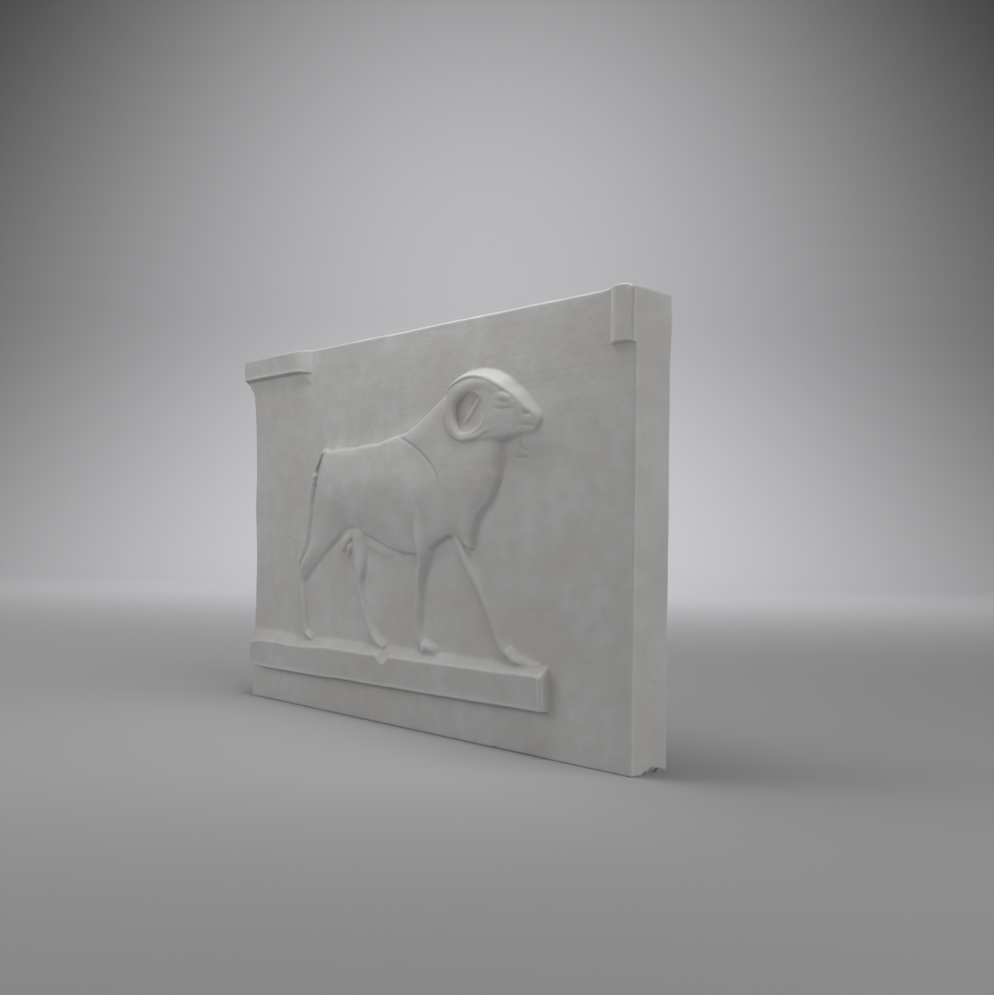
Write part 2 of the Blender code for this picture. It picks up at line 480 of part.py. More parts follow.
def make_plaque():
    """The cast: its carved face, straight sides and a flat back."""
    places, triangles, heights = face_triangles()
    shape = bmesh.new()
    used = np.unique(triangles)
    verts = {place: shape.verts.new((places[place, 0] * MM, -heights[place] * MM, places[place, 1] * MM))
             for place in used.tolist()}
    for corners in triangles.tolist():
        shape.faces.new([verts[corner] for corner in corners])
    rim = [edge for edge in shape.edges if edge.is_boundary]
    grown = bmesh.ops.extrude_edge_only(shape, edges=rim)["geom"]
    for vert in (item for item in grown if isinstance(item, bmesh.types.BMVert)):
        vert.co.y = SLAB_THICKNESS * MM
    back = [edge for edge in shape.edges if edge.is_boundary]
    bmesh.ops.contextual_create(shape, geom=back)
    bmesh.ops.recalc_face_normals(shape, faces=shape.faces)
    low = Vector(min(vert.co[axis] for vert in shape.verts) for axis in range(3))
    high = Vector(max(vert.co[axis] for vert in shape.verts) for axis in range(3))
    middle = (low + high) / 2
    bmesh.ops.translate(shape, verts=shape.verts, vec=(-middle.x, -middle.y, -low.z))
    mesh = bpy.data.meshes.new("plaque")
    shape.to_mesh(mesh)
    shape.free()
    mesh.materials.append(make_material())
    plaque = bpy.data.objects.new("plaque", mesh)
    bpy.context.collection.objects.link(plaque)
    return plaque


make_plaque()
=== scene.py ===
"""A small plaster plaque, cast in one piece, with a walking ram in low relief.

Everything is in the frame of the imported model: +X along the slab, the carved
face towards -Y, +Z up. The camera comes first, then the cast from its blank to
its finish, then the studio. The cast is worked in millimetres: x from the
middle of the slab's foot, y back from the slab's face, z from its underside.
"""

import math

import bpy
import numpy as np
from mathutils import Matrix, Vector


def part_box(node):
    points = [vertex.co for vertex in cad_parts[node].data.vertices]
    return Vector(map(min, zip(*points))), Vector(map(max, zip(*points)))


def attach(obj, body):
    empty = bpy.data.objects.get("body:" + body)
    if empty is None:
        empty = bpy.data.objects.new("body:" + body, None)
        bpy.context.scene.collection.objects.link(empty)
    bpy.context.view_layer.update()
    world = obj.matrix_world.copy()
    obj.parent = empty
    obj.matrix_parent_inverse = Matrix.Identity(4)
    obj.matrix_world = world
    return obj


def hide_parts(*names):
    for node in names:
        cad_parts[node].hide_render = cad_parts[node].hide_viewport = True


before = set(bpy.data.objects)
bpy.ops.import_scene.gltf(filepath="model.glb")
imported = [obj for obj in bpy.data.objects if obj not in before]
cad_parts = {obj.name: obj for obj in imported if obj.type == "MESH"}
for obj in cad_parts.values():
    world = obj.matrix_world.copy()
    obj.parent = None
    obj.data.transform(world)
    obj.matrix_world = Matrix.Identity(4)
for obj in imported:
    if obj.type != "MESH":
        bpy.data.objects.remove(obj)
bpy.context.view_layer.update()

# --- The camera -------------------------------------------------------------
# It stands low, some 40 cm off to the right, level with the middle of the slab
# and tilted slightly up, so that the slab's right side shows beside its face.
CAMERA_PLACE = (0.30675, -0.24522, 0.06505)
CAMERA_TURN, CAMERA_TILT, CAMERA_ROLL = 47.165, 2.333, 1.001
CAMERA_LENS, CAMERA_SENSOR = 39.8, 36.0

camera = bpy.data.objects.new("camera", bpy.data.cameras.new("camera"))
bpy.context.collection.objects.link(camera)
camera.data.sensor_width = CAMERA_SENSOR
camera.data.lens = CAMERA_LENS
camera.data.clip_start = 0.01
camera.matrix_world = (
    Matrix.Translation(CAMERA_PLACE)
    @ Matrix.Rotation(math.radians(CAMERA_TURN), 4, "Z")
    @ Matrix.Rotation(math.radians(90 + CAMERA_TILT), 4, "X")
    @ Matrix.Rotation(math.radians(CAMERA_ROLL), 4, "Z"))
bpy.context.scene.camera = camera

# --- The blank --------------------------------------------------------------
# The slab is plaster poured about 16 mm deep over the mould of a modelled
# relief and struck off level behind. It starts as one even sheet of faces as
# big as the slab's face, drawn back to the slab's thickness.
MM = 0.001
THICKNESS = 16.5
FOOT_LEFT, RIGHT_SIDE, OVERHANG_LEFT = -101.6, 103.2, -109.5
CELL = 2.8
SIDE_CUTS = 7
ARRIS_CUTS = 5

low_corner, high_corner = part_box("plaque")
SLAB_HEIGHT = high_corner[2] / MM
SHIFT_X = low_corner[0] / MM - OVERHANG_LEFT
SHIFT_Y = high_corner[1] / MM - THICKNESS
BLANK_LOW = np.array([FOOT_LEFT, 0.0, 0.0])
BLANK_HIGH = np.array([RIGHT_SIDE, THICKNESS, SLAB_HEIGHT])


def finish_editing():
    """Back from edit mode, with nothing selected."""
    bpy.ops.mesh.select_all(action="DESELECT")
    bpy.ops.object.mode_set(mode="OBJECT")


bpy.ops.object.select_all(action="DESELECT")
length = RIGHT_SIDE - FOOT_LEFT
bpy.ops.mesh.primitive_grid_add(
    x_subdivisions=round(length / CELL), y_subdivisions=round(SLAB_HEIGHT / CELL), size=1,
    location=((SHIFT_X + (FOOT_LEFT + RIGHT_SIDE) / 2) * MM, SHIFT_Y * MM, SLAB_HEIGHT / 2 * MM),
    rotation=(math.radians(90), 0, 0))
cast = bpy.context.object
cast.name = "plaster_plaque"
bpy.ops.transform.resize(value=(length * MM, 1, SLAB_HEIGHT * MM))
bpy.ops.object.transform_apply(location=True, rotation=True, scale=True)
bpy.ops.object.mode_set(mode="EDIT")
bpy.ops.mesh.select_all(action="SELECT")
bpy.ops.mesh.extrude_region_move(TRANSFORM_OT_translate={"value": (0, THICKNESS * MM, 0)})
bpy.ops.mesh.select_all(action="SELECT")
bpy.ops.mesh.normals_make_consistent(inside=False)
finish_editing()


def places(mesh):
    """The mesh's vertices, in the cast's own millimetres."""
    flat = np.zeros(len(mesh.vertices) * 3)
    mesh.vertices.foreach_get("co", flat)
    return flat.reshape(-1, 3) / MM - (SHIFT_X, SHIFT_Y, 0)


mesh = cast.data
ends = np.zeros(len(mesh.edges) * 2, int)
mesh.edges.foreach_get("vertices", ends)
depth = places(mesh)[ends, 1].reshape(-1, 2)
mesh.edges.foreach_set("select", np.ptp(depth, axis=1) > THICKNESS / 2)
bpy.ops.object.mode_set(mode="EDIT")
bpy.ops.mesh.select_mode(type="EDGE")
bpy.ops.mesh.subdivide(number_cuts=SIDE_CUTS)
bpy.ops.mesh.select_mode(type="FACE")
finish_editing()

# Beside the slab's twelve edges the faces are narrower, for its rounded arrises.
for axis in range(3):
    ends = np.zeros(len(mesh.edges) * 2, int)
    mesh.edges.foreach_get("vertices", ends)
    along = places(mesh)[ends].reshape(-1, 2, 3)
    crosses = np.ptp(along[..., axis], axis=1) > CELL / 4
    outer = np.abs(along[..., axis] - [[BLANK_LOW[axis], BLANK_LOW[axis]]]).min(axis=1) < 0.01
    outer |= np.abs(along[..., axis] - [[BLANK_HIGH[axis], BLANK_HIGH[axis]]]).min(axis=1) < 0.01
    mesh.vertices.foreach_set("select", np.zeros(len(mesh.vertices), bool))
    mesh.polygons.foreach_set("select", np.zeros(len(mesh.polygons), bool))
    mesh.edges.foreach_set("select", crosses & outer)
    bpy.ops.object.mode_set(mode="EDIT")
    bpy.ops.mesh.select_mode(type="EDGE")
    bpy.ops.mesh.subdivide(number_cuts=ARRIS_CUTS)
    bpy.ops.mesh.select_mode(type="FACE")
    finish_editing()

# --- The carving ------------------------------------------------------------
# The relief was modelled in clay with a wooden tool and cast: steep edges cut
# down to the ground, round shoulders above them, soft creases where forms meet.
# It is one height above the slab for each place on its face. An outline has an
# edge and a shoulder of given widths, and a leg or a horn is a rounded ridge.


def smooth_path(points, closed=False, per_span=4):
    """Points along the smooth curve through rows of numbers (a Catmull-Rom spline)."""
    rows = np.array(points, float)
    if closed:
        rows = np.vstack([rows[-1:], rows, rows[:2]])
    else:
        rows = np.vstack([2 * rows[0] - rows[1], rows, 2 * rows[-1] - rows[-2]])
    steps = np.linspace(0, 1, per_span, endpoint=False)[:, None]
    spans = []
    for a, b, c, d in zip(rows, rows[1:], rows[2:], rows[3:]):
        square, cube = 2 * a - 5 * b + 4 * c - d, 3 * b - a - 3 * c + d
        spans.append(b + ((c - a) * steps + square * steps ** 2 + cube * steps ** 3) / 2)
    return np.vstack(spans if closed else spans + [rows[-2:-1]])


def nearest(path, x, z, closed=False, reach=12.0):
    """Distance to a path, the values that it carries at the nearest place, and the side (1 is left)."""
    distance = np.full(x.shape, reach)
    values = np.tile(path[0, 2:], (len(x), 1))
    side = np.zeros(x.shape)
    low, high = path.min(axis=0) - reach, path.max(axis=0) + reach
    close = np.flatnonzero((x > low[0]) & (x < high[0]) & (z > low[1]) & (z < high[1]))
    if not len(close):
        return distance, values, side
    near_x, near_z = x[close], z[close]
    best, best_values, best_side = distance[close], values[close], side[close]
    ends = np.vstack([path, path[:1]]) if closed else path
    for a, b in zip(ends, ends[1:]):
        run, climb = b[0] - a[0], b[1] - a[1]
        part = ((near_x - a[0]) * run + (near_z - a[1]) * climb) / (run * run + climb * climb)
        part = np.clip(part, 0, 1)
        away = np.hypot(near_x - a[0] - part * run, near_z - a[1] - part * climb)
        closer = np.flatnonzero(away < best)
        best[closer] = away[closer]
        best_values[closer] = a[2:] + (b[2:] - a[2:]) * part[closer, None]
        best_side[closer] = np.sign(run * (near_z[closer] - a[1]) - climb * (near_x[closer] - a[0]))
    distance[close], values[close], side[close] = best, best_values, best_side
    return distance, values, side


def is_inside(path, x, z):
    """True where a closed path goes round the place."""
    odd = np.zeros(x.shape, bool)
    for a, b in zip(path, np.roll(path, -1, axis=0)):
        if a[1] == b[1]:
            continue
        spans = (a[1] > z) != (b[1] > z)
        odd ^= spans & (x < a[0] + (z - a[1]) * (b[0] - a[0]) / (b[1] - a[1]))
    return odd


def rise(part, outside=2.0):
    """From 0 at an edge's foot to 1, steepest at the foot; it runs on below 0 outside."""
    return np.where(part < 0, outside * part, 1 - (1 - np.clip(part, 0, 1)) ** 2)


def join(a, b, softness):
    """The higher of two surfaces, with a small fillet where they meet."""
    overlap = np.clip(softness - np.abs(a - b), 0, None)
    return np.maximum(a, b) + overlap ** 2 / (4 * softness)


def meet(a, b, softness):
    """The lower of two surfaces, with a small round where they meet."""
    return -join(-a, -b, softness)


# How a form falls on beyond its foot: gently on the slab, which makes its fillet wide, and
# steeply where it lies on another form.
SOFT_FALL, RAISED_FALL = 0.8, 9.0


def swell(rows, x, z):
    """The sum of smooth swellings."""
    total = np.zeros(x.shape)
    for middle_x, middle_z, reach_x, reach_z, height in rows:
        total += height * np.exp(-((x - middle_x) / reach_x) ** 2 - ((z - middle_z) / reach_z) ** 2)
    return total


def carved(sides, top, x, z):
    """A form inside the sides of an outline: a steep edge, then a round shoulder up to its top."""
    paths = [smooth_path(side) for side in sides]
    within = is_inside(np.vstack(paths), x, z)
    height = np.full(x.shape, np.inf)
    for path in paths:
        distance, values, _ = nearest(path, x, z)
        inside = np.where(within, distance, -distance)
        edge_width, shoulder_width, steep_share = values.T
        edge = rise(inside / edge_width, SOFT_FALL)
        shoulder = rise(np.clip(inside, 0, None) / shoulder_width)
        height = meet(height, steep_share * edge + (1 - steep_share) * shoulder, 0.25)
    return np.clip(top * height, -6, None)


def stroke(stations, x, z, fullness=2.2, ground=0.0):
    """A rounded ridge on its ground, along its stations; more fullness gives a flatter top."""
    fall = RAISED_FALL if ground > 0 else SOFT_FALL
    distance, values, _ = nearest(smooth_path(stations), x, z)
    part = distance / values[..., 0]
    profile = np.where(part < 1, 1 - np.clip(part, 0, 1) ** fullness, fall * (1 - part))
    return np.clip(ground + (values[..., 1] - ground) * profile, -6, None)


def groove(points, half_width, depth, x, z):
    """How deep a cut line goes, fading out at its two ends."""
    rows = [(*point, 0.2 if place in (0, len(points) - 1) else 1.0) for place, point in enumerate(points)]
    distance, strength, _ = nearest(smooth_path(rows), x, z)
    return depth * strength[..., 0] * np.exp(-(distance / half_width) ** 2)


# Nothing modelled by hand is quite even: its lumps are a smooth noise through a small table.
LUMP_TABLE = np.random.default_rng(4).uniform(-1, 1, (32, 32, 32))


def lumps(points, size):
    """Smooth unevenness between -1 and 1, with lumps of about one size in millimetres."""
    cell = points / size + 7.3
    corner = np.floor(cell).astype(int)
    part = cell - corner
    part = part * part * (3 - 2 * part)
    total = np.zeros(len(points))
    for step in np.ndindex(2, 2, 2):
        weight = np.prod(np.where(step, part, 1 - part), axis=1)
        total += weight * LUMP_TABLE[tuple(((corner + step) % 32).T)]
    return total


# The ram's trunk and neck, from the rump over the back and round by the belly to the hock,
# then up the rump: x, z, width of the steep edge, width of the shoulder, the edge's share.
TRUNK = [
    (-50, 99.4, 1.5, 9, 0.65), (-40, 99.5, 1.5, 9, 0.65), (-25, 99.8, 1.5, 9, 0.65),
    (-12, 101.2, 1.5, 9, 0.65), (-3, 102.9, 1.5, 9, 0.65), (5, 105.5, 1.3, 7, 0.6),
    (16, 111.8, 1.3, 7, 0.55),
    (22, 115.0, 1.6, 7, 0.55), (34, 115.6, 2.2, 8, 0.55), (46, 111.0, 3.0, 8, 0.5),
    (50, 105.0, 3.0, 6, 0.45), (52.2, 97.8, 5.0, 9, 0.4), (51.4, 94.0, 6.0, 11, 0.4),
    (49.6, 89.0, 4.6, 12, 0.45), (48.0, 84.4, 2.0, 9, 0.5), (43.9, 78.2, 1.4, 8, 0.5),
    (38.0, 72.0, 1.4, 7, 0.5), (35.8, 66.6, 1.4, 6, 0.5), (34.4, 62.2, 1.3, 3, 0.5),
    (28.4, 65.7, 1.4, 7, 0.45), (24.0, 66.4, 1.6, 9, 0.45), (18.5, 64.2, 1.7, 9, 0.45),
    (11, 60.6, 1.7, 9, 0.45), (3, 60.0, 1.4, 10, 0.45), (-8, 61.4, 1.4, 11, 0.42),
    (-20, 65.3, 1.4, 12, 0.38), (-30, 68.6, 1.6, 13, 0.32), (-37, 69.0, 2.4, 14, 0.25),
    (-42.5, 64.2, 1.8, 14, 0.3), (-50, 58.6, 1.6, 12, 0.3), (-58, 51.6, 1.5, 9, 0.3),
    (-62.4, 47.0, 1.2, 6, 0.4)]
RUMP = [
    (-62.4, 47.0, 1.2, 6, 0.4), (-66.0, 49.4, 3.4, 5, 0.55), (-66.6, 54.0, 4.4, 6, 0.6),
    (-62.4, 60.2, 3.8, 8, 0.5), (-58.4, 66.0, 2.4, 9, 0.42), (-57.6, 78.0, 2.2, 10, 0.36),
    (-56.2, 87.0, 2.2, 10, 0.4), (-53.4, 94.4, 1.8, 9, 0.5), (-50, 99.4, 1.5, 9, 0.65)]
# Its head: x, z, width of the bevel along the edge.
HEAD = [
    (21.0, 109.5, 3.6), (20.8, 114.4, 2.8), (22.4, 117.4, 2.4), (26.4, 120.0, 2.3), (31.6, 121.4, 2.2),
    (37.2, 121.8, 2.5), (42.0, 121.2, 2.8), (46.0, 120.2, 3.0), (50.6, 117.9, 3.0), (55.6, 114.4, 3.2),
    (60.6, 110.4, 3.5), (64.8, 106.4, 3.2), (66.2, 103.4, 2.2), (65.6, 100.6, 2.4), (62.8, 98.2, 3.2),
    (57.0, 96.7, 3.4), (50, 95.7, 3.2), (43, 95.4, 3.0), (36.0, 95.4, 3.6), (28.6, 96.4, 4.2),
    (23.2, 101.4, 4.0)]
TRUNK_PROUD, NECK_PROUD, HEAD_PROUD, MOST_PROUD = 2.7, 2.9, 3.8, 4.15

# Broad swellings: x, z, reach along x, reach along z, height; a negative one is a hollow.
TRUNK_SWELLS = [
    (9, 82.5, 12, 9, 1.4), (-18, 85, 17, 11, 1.1), (-46, 82, 11, 14, 1.2),
    (-40, 71, 8, 7, -0.9), (-10, 63, 26, 7, -0.6), (-62, 57, 6, 7, 1.1)]
NECK_SWELLS = [(31, 84, 14, 12, 1.05), (46, 94, 8, 5, 0.4)]

# The edge of the mane, from the withers to the chest: x, z, width of the shoulder's slope, step.
MANE = [
    (-4.5, 102.0, 6, 1), (2.0, 99.4, 6, 1), (8.0, 96.4, 7, 1), (13.0, 93.2, 7, 1),
    (17.0, 89.4, 5, 0.9), (20.0, 84.6, 6, 0.6), (21.6, 79.0, 9, 0.2), (22.4, 72.0, 14, 0),
    (23.0, 64.0, 20, 0)]
MANE_CUT, MANE_CUT_WIDTH, CUT_FROM = 0.35, 0.5, 0.6


def trunk_height(x, z):
    """Trunk and neck in one outline; the trunk swells up behind the cut edge of the mane."""
    distance, values, side = nearest(smooth_path(MANE), x, z, reach=1000.0)
    behind = np.clip(-side * distance / values[..., 0], 0, 1)
    neck = NECK_PROUD + swell(NECK_SWELLS, x, z)
    trunk = TRUNK_PROUD + swell(TRUNK_SWELLS, x, z)
    height = carved((TRUNK, RUMP), neck + (trunk - neck) * rise(behind), x, z)
    cut = MANE_CUT * values[..., 1] * np.exp(-(distance / MANE_CUT_WIDTH) ** 2)
    return height - np.where(height > CUT_FROM, cut, 0)


# The face falls away along the muzzle. Inside the horn's curl an oval recess is sunk
# into it, which holds the ear.
MUZZLE_START, MUZZLE_REACH, MUZZLE_FALL = 49.0, 16.0, 2.2
JAW_TOP, JAW_END, JAW_FALL, JAW_PROUD = 105.0, 95.0, 0.008, 0.8
RECESS_X, RECESS_Z, RECESS_REACH_X, RECESS_REACH_Z = 34.2, 107.1, 9.0, 6.5
RECESS_PROUD, RECESS_DEEP, RECESS_WALL_SLOPE = 3.0, 0.9, 10.0
RECESS_SWELLS = [(28.6, 104.5, 4, 5, -0.3), (45, 107, 6, 9, 1.1)]
HORN_GROUND = 3.0
# How softly each part of the head meets the next.
HEAD_FILLET, RECESS_FILLET, HORN_FILLET, EAR_FILLET, EYE_FILLET = 0.7, 0.4, 0.35, 0.6, 0.3

# Rounded ridges: x, z, half width, how far the ridge stands out.
HORN = [
    (46.5, 114.6, 1.3, 3.7), (42.4, 115.7, 2.0, 3.9), (37.5, 116.1, 2.3, 4.05), (32.6, 115.6, 2.5, 4.05),
    (28.0, 113.6, 2.7, 4.0), (25.0, 110.4, 2.9, 3.95), (24.6, 106.3, 2.8, 3.9), (26.8, 102.2, 2.3, 3.85),
    (30.6, 99.3, 1.4, 3.75), (34.6, 98.9, 1.3, 3.85), (40.2, 99.5, 1.1, 3.8), (44.4, 101.0, 1.0, 3.75),
    (47.4, 101.4, 0.8, 3.6)]
EAR = [
    (32.0, 103.8, 1.6, 2.15), (34.4, 106.2, 2.3, 2.5), (36.8, 108.6, 2.4, 2.7), (39.8, 111.2, 2.2, 3.0),
    (41.4, 112.6, 1.4, 3.4)]
EAR_ROOT = [(34.2, 112.8, 1.2, 2.7), (35.6, 110.8, 1.4, 2.7)]
EYE = [(47.8, 111.0, 1.3, 3.7), (50.4, 111.3, 1.9, 3.9), (53.0, 110.6, 1.2, 3.5)]

# Cut lines: x, z.
BROW_LINE = [(45.2, 115.9), (49.4, 114.0), (54.6, 110.9), (59.4, 107.5)]
UPPER_LID = [(47.0, 112.4), (49.6, 113.0), (52.4, 112.3), (55.2, 110.8)]
LOWER_LID = [(47.4, 109.8), (50.2, 109.5), (53.4, 109.2)]
CHEEK_LINE = [(47.0, 107.6), (49.8, 107.0), (53.0, 107.3), (56.6, 106.8)]
TEMPLE_LINE = [(47.0, 113.0), (46.8, 110.8)]
NOSTRIL_LINE = [(59.2, 106.0), (60.6, 105.3), (62.2, 105.1)]
MOUTH_LINE = [(57.6, 101.9), (61.5, 101.4), (64.8, 100.6)]
POLL_LINE = [(23.6, 113.0), (25.2, 115.4), (28.2, 117.0), (32.2, 118.0), (37.0, 118.3), (42.6, 117.3)]
JAW_LINE = [(46.6, 97.4), (50.6, 96.4), (55.6, 95.2)]
# Each line with its half width and how deep it is cut.
HEAD_CUTS = [
    (POLL_LINE, 0.5, 0.24), (BROW_LINE, 0.9, 0.2), (UPPER_LID, 0.6, 0.15), (LOWER_LID, 0.5, 0.18),
    (CHEEK_LINE, 0.55, 0.2), (TEMPLE_LINE, 0.4, 0.2), (NOSTRIL_LINE, 0.55, 0.5),
    (MOUTH_LINE, 0.5, 0.28), (JAW_LINE, 0.5, 0.12)]


def with_head(height, x, z):
    """The head on the neck: its mask, the recess, the horn, the ear, the eye and the cut lines."""
    along = np.clip((x - MUZZLE_START) / MUZZLE_REACH, 0, 1.1)
    below = np.clip(JAW_TOP - z, 0, JAW_TOP - JAW_END)
    face = np.maximum(HEAD_PROUD - MUZZLE_FALL * along ** 1.2 - JAW_FALL * below ** 2, JAW_PROUD)
    path = smooth_path(HEAD, closed=True)
    distance, widths, _ = nearest(path, x, z, closed=True)
    inside = np.where(is_inside(path, x, z), distance, -2 * distance)
    bevel = HEAD_PROUD * inside / widths[..., 0]
    height = join(height, meet(bevel, face, HEAD_FILLET), HEAD_FILLET)
    away = np.hypot((x - RECESS_X) / RECESS_REACH_X, (z - RECESS_Z) / RECESS_REACH_Z)
    bowl = RECESS_PROUD - RECESS_DEEP * np.clip(1 - away ** 4, 0, 1) + swell(RECESS_SWELLS, x, z)
    bowl = bowl + RECESS_WALL_SLOPE * np.clip(away - 1, 0, None)
    height = np.where(height > RECESS_DEEP, meet(height, bowl, RECESS_FILLET), height)
    height = join(height, stroke(HORN, x, z, fullness=3, ground=HORN_GROUND), HORN_FILLET)
    for form in (EAR, EAR_ROOT):
        height = join(height, stroke(form, x, z, fullness=2), EAR_FILLET)
    for points, half_width, depth in HEAD_CUTS:
        height = height - groove(points, half_width, depth, x, z)
    return join(height, stroke(EYE, x, z, ground=HORN_GROUND), EYE_FILLET)


# Tail, legs, hooves and what hangs under the belly: x, z, half width, how far it stands out.
TAIL = [
    (-48.0, 98.6, 1.2, 2.0), (-51.8, 98.0, 1.8, 2.0), (-54.8, 95.2, 1.4, 1.4), (-57.4, 92.2, 1.4, 1.2),
    (-58.0, 89.6, 1.8, 1.4), (-59.2, 86.2, 1.6, 1.0), (-60.0, 82.8, 1.7, 1.2), (-61.0, 78.6, 1.4, 0.8),
    (-61.4, 75.0, 1.6, 1.0), (-61.8, 70.6, 1.4, 1.0), (-62.4, 66.6, 1.6, 1.2), (-63.6, 62.0, 1.8, 1.3),
    (-65.6, 59.2, 1.6, 1.1), (-67.0, 56.8, 1.6, 1.2), (-68.2, 54.2, 1.0, 0.6)]
TAIL_ROOT = [(-57.4, 89.2, 1.9, 1.8), (-57.8, 87.0, 1.5, 1.4)]
NEAR_HIND_LEG = [
    (-61.6, 52.6, 2.6, 2.2), (-63.4, 49.6, 2.5, 2.2), (-62.8, 45.0, 2.3, 2.3), (-62.3, 40.0, 2.2, 2.3),
    (-61.8, 35.0, 2.2, 2.1), (-61.2, 31.5, 2.2, 2.0), (-60.8, 29.4, 2.2, 1.8)]
NEAR_HIND_HOOF = [(-61.4, 28.8, 2.2, 1.8), (-59.2, 27.6, 2.5, 2.2), (-56.6, 26.9, 1.8, 1.9)]
FAR_HIND_LEG = [
    (-28.0, 66.0, 4.6, 1.6), (-27.4, 60.0, 4.7, 1.8), (-27.0, 54.0, 3.2, 1.8), (-26.8, 48.6, 2.0, 1.5),
    (-24.8, 42.5, 1.7, 1.3), (-22.0, 37.0, 1.7, 1.3), (-19.6, 33.0, 1.8, 1.4), (-17.0, 30.4, 2.1, 1.6),
    (-14.4, 28.6, 2.3, 1.7), (-11.6, 27.4, 1.9, 1.6)]
NEAR_FORELEG = [
    (9.0, 74, 4.0, 3.3), (9.6, 68, 4.8, 3.6), (10.2, 62, 4.6, 3.4), (9.8, 57.0, 3.0, 2.7),
    (8.2, 51, 2.7, 1.9), (7.6, 45, 2.6, 1.6), (7.4, 38, 2.5, 1.4), (8.0, 33.0, 2.4, 1.4),
    (9.4, 30.6, 2.3, 1.5)]
NEAR_FORE_HOOF = [(11.4, 29.4, 2.6, 2.1), (14.0, 28.7, 2.7, 2.0), (17.0, 27.6, 2.0, 1.3)]
FAR_FORELEG = [
    (27.0, 67.2, 2.2, 1.7), (31.4, 60.2, 2.8, 1.9), (35.6, 55.0, 3.1, 1.9), (39.6, 50.0, 3.1, 1.9),
    (43.0, 44.2, 2.8, 1.8), (46.2, 38.6, 2.6, 1.7), (48.8, 33.6, 2.3, 1.6), (51.4, 30.6, 2.2, 1.7)]
FAR_FORE_HOOF = [
    (53.2, 29.8, 2.4, 1.9), (56.4, 28.7, 2.4, 1.8), (60.6, 27.6, 2.0, 1.3), (65.4, 26.8, 1.5, 0.9)]
SCROTUM = [(-34.8, 65.4, 2.6, 1.9), (-37.0, 62.8, 2.9, 1.9)]
FAR_LOBE = [(-33.4, 62.0, 2.4, 1.4), (-35.0, 59.8, 2.0, 0.9)]
SHEATH = [(-32, 66.4, 2.0, 0.8), (-24, 64.4, 2.2, 0.7), (-16, 61.8, 2.1, 0.6), (-9.5, 60.2, 1.6, 0.5)]
TUFT = [(-6.2, 60.0, 2.0, 0.5), (-4.6, 56.0, 2.0, 0.35), (-3.4, 53.0, 1.3, 0.2)]
# Where each form is laid on the ones before it: the form, how full it is, the fillet.
FORMS = [
    (FAR_HIND_LEG, 2.6, 0.5), (FAR_FORELEG, 2.2, 0.4), (SHEATH, 2.2, 0.4), (TUFT, 2.2, 0.5),
    (FAR_LOBE, 2.2, 0.6), (SCROTUM, 2.8, 0.7), (NEAR_HIND_LEG, 2.0, 0.7), (NEAR_FORELEG, 1.8, 1.0),
    (TAIL, 2.0, 0.4), (TAIL_ROOT, 2.2, 0.5)]
# What stands on the bar.
HOOVES = [(NEAR_HIND_HOOF, 0.2), (NEAR_FORE_HOOF, 0.5), (FAR_FORE_HOOF, 0.5)]


def ram_height(x, z):
    """The whole ram."""
    height = with_head(trunk_height(x, z), x, z)
    for form, fullness, fillet in FORMS:
        height = join(height, stroke(form, x, z, fullness), fillet)
    return np.minimum(height, MOST_PROUD)


# The bar that the ram walks on, and the blocks in the top corners.
BAR_PROUD, BAR_RIGHT, BAR_WALL, BAR_DRAFT, BAR_END_ROUND, BAR_LEAN = 3.9, 70.0, 27.6, 0.5, 4.5, 0.2
BAR_FOOT_LEFT, BAR_FOOT_RIGHT, BAR_EDGE_LEFT, BAR_EDGE_RIGHT = 12.7, 14.2, 23.8, 25.1
LEFT_CORNER, RIGHT_CORNER = 3.6, 1.3
DRIP_X, DRIP_REACH, DRIP_DEEP = -8.4, 2.9, 2.7
# The bar's waves: how high they are and how long, along its foot and along its edge.
FOOT_WAVE, FOOT_WAVE_LONG = 0.2, 15
EDGE_WAVE, EDGE_WAVE_LONG, EDGE_NICK, EDGE_NICK_LONG = 0.5, 19, 0.25, 5
BAR_ROUND, BAR_FILLET, BLOCK_FILLET = 0.12, 0.7, 0.3
SEAM_DEEP, SEAM_REACH = 0.45, 0.5
LEFT_BLOCK_PROUD, LEFT_BLOCK_END, LEFT_BLOCK_END_SLOPE = 3.3, -62.0, 9.0
LEFT_BLOCK_FOOT, LEFT_BLOCK_FOOT_SLOPE, COVE_PROUD, COVE_DROP = 130.6, 1.3, 1.5, 4.6
RIGHT_BLOCK_PROUD, RIGHT_BLOCK_START, RIGHT_BLOCK_SIDE_SLOPE = 1.4, 93.2, 3.0
RIGHT_BLOCK_FOOT, RIGHT_BLOCK_FOOT_SLOPE = 122.9, 0.4


def bar_line(x, at_left, at_right):
    """The height of one of the bar's edges, between its two ends."""
    return at_left + (at_right - at_left) * (x - FOOT_LEFT) / (BAR_RIGHT - FOOT_LEFT)


